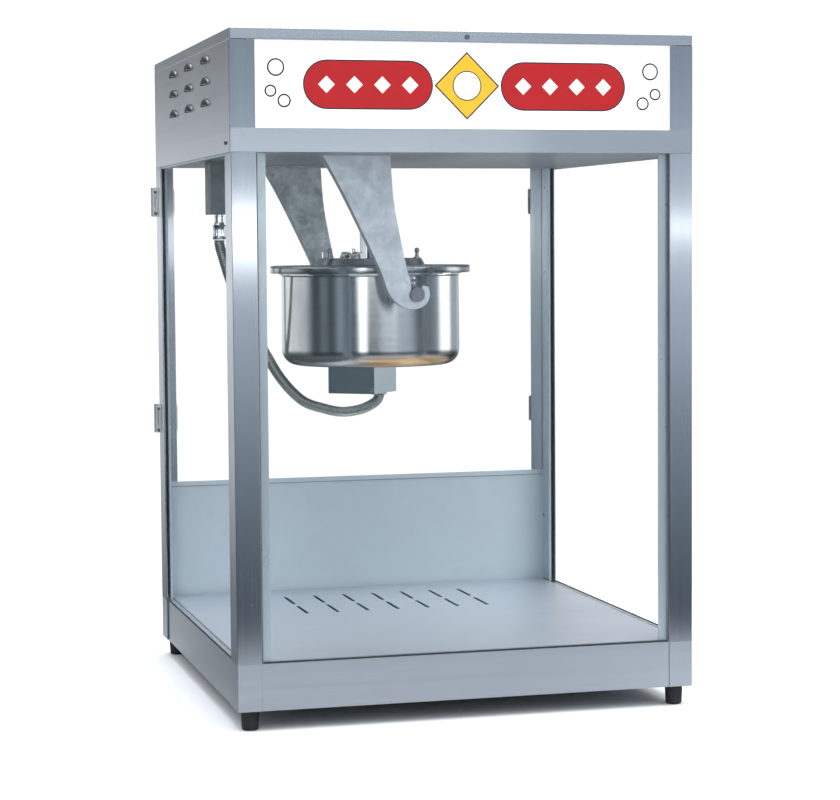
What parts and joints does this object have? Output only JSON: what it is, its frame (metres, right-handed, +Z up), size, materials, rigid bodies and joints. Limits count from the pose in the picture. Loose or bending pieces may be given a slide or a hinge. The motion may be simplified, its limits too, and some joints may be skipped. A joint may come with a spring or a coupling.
{
  "type": "popcorn maker",
  "caption": "Counter-top popcorn maker: square glazed steel cabinet on feet, lit header with louvred sides, rear doors, and a round lidded kettle that hangs between two arms and tips sideways.",
  "frame": {"origin": "under the middle of the object's box, on the surface that the feet stand on", "axes": "+Z up, front with the sign panel towards -Y, operator's side with the doors towards +Y"},
  "size_m": [0.729, 0.743, 1.026],
  "materials": {
    "brushed_steel": "brushed stainless sheet",
    "polished_steel": "polished stainless",
    "galvanised": "galvanised, mottled blue-grey",
    "chrome": "bright plating",
    "conduit": "satin, ribbed flexible conduit",
    "glass": "clear, slightly green at the edges",
    "acrylic": "white translucent, printed",
    "lamp": "frosted white tube",
    "white_enamel": "white enamel",
    "dark_casting": "dark casting",
    "black_plastic": "black moulded plastic",
    "rubber": "black rubber"
  },
  "bodies": {
    "cabinet": {"base_pan": "brushed_steel", "conduit_plug": "chrome", "cord_gland": "black_plastic", "corn_deck": "brushed_steel", "door_catch": "black_plastic", "foot_front_left": "rubber", "foot_front_right": "rubber", "foot_rear_left": "rubber", "foot_rear_right": "rubber", "gear_motor": "dark_casting", "glass_front": "glass", "glass_left": "glass", "glass_right": "glass", "hanger_front": "galvanised", "hanger_rear": "galvanised", "header_cover": "brushed_steel", "header_floor": "brushed_steel", "header_left_panel": "brushed_steel", "header_rear_panel": "brushed_steel", "header_right_panel": "brushed_steel", "hinge_lower_left_fixed": "polished_steel", "hinge_lower_right_fixed": "polished_steel", "hinge_upper_left_fixed": "polished_steel", "hinge_upper_right_fixed": "polished_steel", "kettle_conduit": "conduit", "post_front_left": "brushed_steel", "post_front_right": "brushed_steel", "post_rear_left": "brushed_steel", "post_rear_right": "brushed_steel", "rear_apron": "brushed_steel", "sign_frame": "brushed_steel", "sign_lamp_batten": "white_enamel", "sign_lamp_tube": "lamp", "sign_panel": "acrylic", "socket_box": "galvanised"},
    "left_door": {"door_left_pane": "glass", "door_left_pull": "polished_steel", "hinge_upper_left_door": "polished_steel", "hinge_lower_left_door": "polished_steel"},
    "right_door": {"door_right_pane": "glass", "door_right_pull": "polished_steel", "hinge_upper_right_door": "polished_steel", "hinge_lower_right_door": "polished_steel"},
    "kettle": {"kettle_shell": "polished_steel", "kettle_pan": "polished_steel", "heating_element": "dark_casting", "terminal_box": "galvanised", "trunnion_front": "polished_steel", "trunnion_rear": "polished_steel", "dump_handle": "polished_steel", "handle_grip": "black_plastic", "kettle_crossbar": "polished_steel"},
    "left_lid": {"lid_left": "polished_steel"},
    "right_lid": {"lid_right": "polished_steel"},
    "drive": {"drive_coupling": "polished_steel"},
    "stirrer": {"agitator": "polished_steel"},
    "drawer": {"crumb_drawer": "brushed_steel"},
    "light_rocker": {"light_switch": "black_plastic"},
    "motor_rocker": {"motor_switch": "black_plastic"},
    "heat_rocker": {"heat_switch": "black_plastic"}
  },
  "joints": [
    {"name": "left_door_hinge", "type": "hinge", "parent": "cabinet", "child": "left_door", "pos_m": [-0.36, 0.344, 0.57], "axis": [0, 0, 1], "range_deg": [0, 120]},
    {"name": "right_door_hinge", "type": "hinge", "parent": "cabinet", "child": "right_door", "pos_m": [0.36, 0.344, 0.57], "axis": [0, 0, -1], "range_deg": [0, 120]},
    {"name": "kettle_tilt", "type": "hinge", "parent": "cabinet", "child": "kettle", "pos_m": [-0.049, -0.016, 0.6365], "axis": [0, 1, 0], "range_deg": [0, 95], "deforming": ["kettle_conduit"]},
    {"name": "left_lid_hinge", "type": "hinge", "parent": "kettle", "child": "left_lid", "pos_m": [-0.0934, -0.016, 0.6965], "axis": [0, 1, 0], "range_deg": [0, 80]},
    {"name": "right_lid_hinge", "type": "hinge", "parent": "kettle", "child": "right_lid", "pos_m": [-0.0314, -0.016, 0.6965], "axis": [0, -1, 0], "range_deg": [0, 80]},
    {"name": "drive_spin", "type": "hinge", "parent": "cabinet", "child": "drive", "pos_m": [-0.0624, -0.016, 0.845], "axis": [0, 0, 1], "continuous": true},
    {"name": "agitator_spin", "type": "hinge", "parent": "kettle", "child": "stirrer", "pos_m": [-0.0624, -0.016, 0.7], "axis": [0, 0, 1], "continuous": true},
    {"name": "crumb_drawer_slide", "type": "slide", "parent": "cabinet", "child": "drawer", "axis": [0, 1, 0], "range_m": [0, 0.24]},
    {"name": "light_switch_press", "type": "hinge", "parent": "cabinet", "child": "light_rocker", "pos_m": [0.15, 0.3375, 0.93], "axis": [1, 0, 0], "range_deg": [0, 14]},
    {"name": "motor_switch_press", "type": "hinge", "parent": "cabinet", "child": "motor_rocker", "pos_m": [0.195, 0.3375, 0.93], "axis": [1, 0, 0], "range_deg": [0, 14]},
    {"name": "heat_switch_press", "type": "hinge", "parent": "cabinet", "child": "heat_rocker", "pos_m": [0.24, 0.3375, 0.93], "axis": [1, 0, 0], "range_deg": [0, 14]}
  ],
  "couplings": [
    {"joint": "agitator_spin", "follows": "drive_spin", "ratio": 1}
  ]
}
